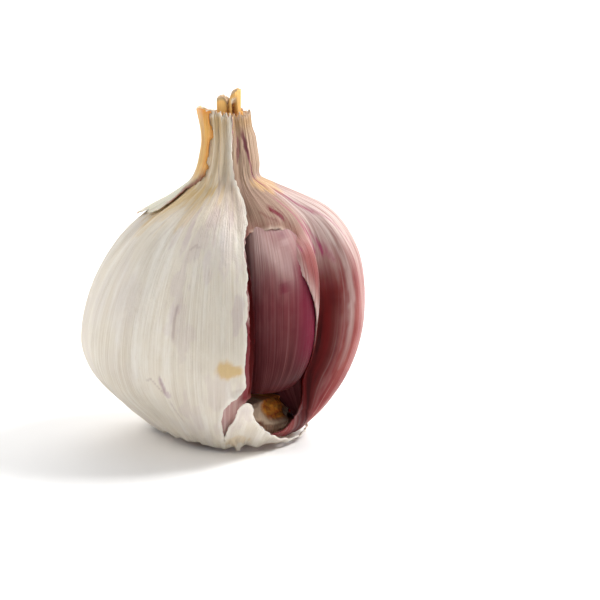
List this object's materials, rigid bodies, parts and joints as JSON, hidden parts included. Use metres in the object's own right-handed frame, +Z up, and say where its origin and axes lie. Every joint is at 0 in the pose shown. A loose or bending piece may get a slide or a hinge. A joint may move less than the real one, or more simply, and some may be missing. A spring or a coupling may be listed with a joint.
{
  "type": "garlic bulb",
  "caption": "Partly peeled garlic bulb with a torn papery wrapper, a dried neck, and a gap where a clove was broken off, showing purple-skinned cloves.",
  "frame": {"origin": "centre of the flat spot under the root plate that the bulb rests on", "axes": "+Z up along the neck, -Y towards the gap in the wrapper, +X towards the side where the inner skin shows"},
  "size_m": [0.0604, 0.0612, 0.0748],
  "materials": {
    "wrapper": "satin",
    "inner_skin": "satin",
    "dry_leaf": "matte",
    "stalk": "matte",
    "root_plate": "matte",
    "clove_skin": "satin"
  },
  "bodies": {
    "root": {"outer_wrapper": "wrapper", "inner_wrapper": "inner_skin", "loose_leaf": "dry_leaf", "scape": "stalk", "basal_plate": "root_plate", "inner_clove": "clove_skin", "clove_1": "clove_skin", "clove_2": "clove_skin", "clove_3": "clove_skin", "clove_4": "clove_skin", "clove_5": "clove_skin", "clove_6": "clove_skin", "clove_7": "clove_skin"}
  },
  "joints": []
}
